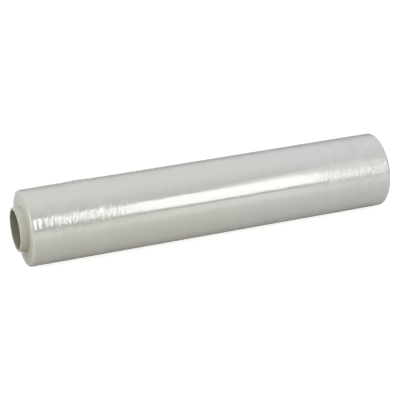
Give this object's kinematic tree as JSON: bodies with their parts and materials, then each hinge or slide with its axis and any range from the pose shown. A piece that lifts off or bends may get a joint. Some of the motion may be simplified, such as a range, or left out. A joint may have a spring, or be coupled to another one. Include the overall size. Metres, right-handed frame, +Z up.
{
  "type": "stretch wrap roll",
  "caption": "Hand roll of clear stretch wrap wound on a board core tube that stands out of the film at both ends, lying on its side.",
  "frame": {"origin": "on the ground under the middle of the roll", "axes": "+X along the roll's axis, +Z up, the roll resting on the flat along its underside"},
  "size_m": [0.52, 0.1, 0.0995],
  "materials": {
    "core_board": "plain grey-beige spiral-wound board, matt, a little darker inside",
    "stretch_film": "clear film wound so deep that it looks milky grey-white, glossy, with fine ridges round the roll"
  },
  "bodies": {
    "root": {"core_tube": "core_board", "film_roll": "stretch_film"}
  },
  "joints": []
}
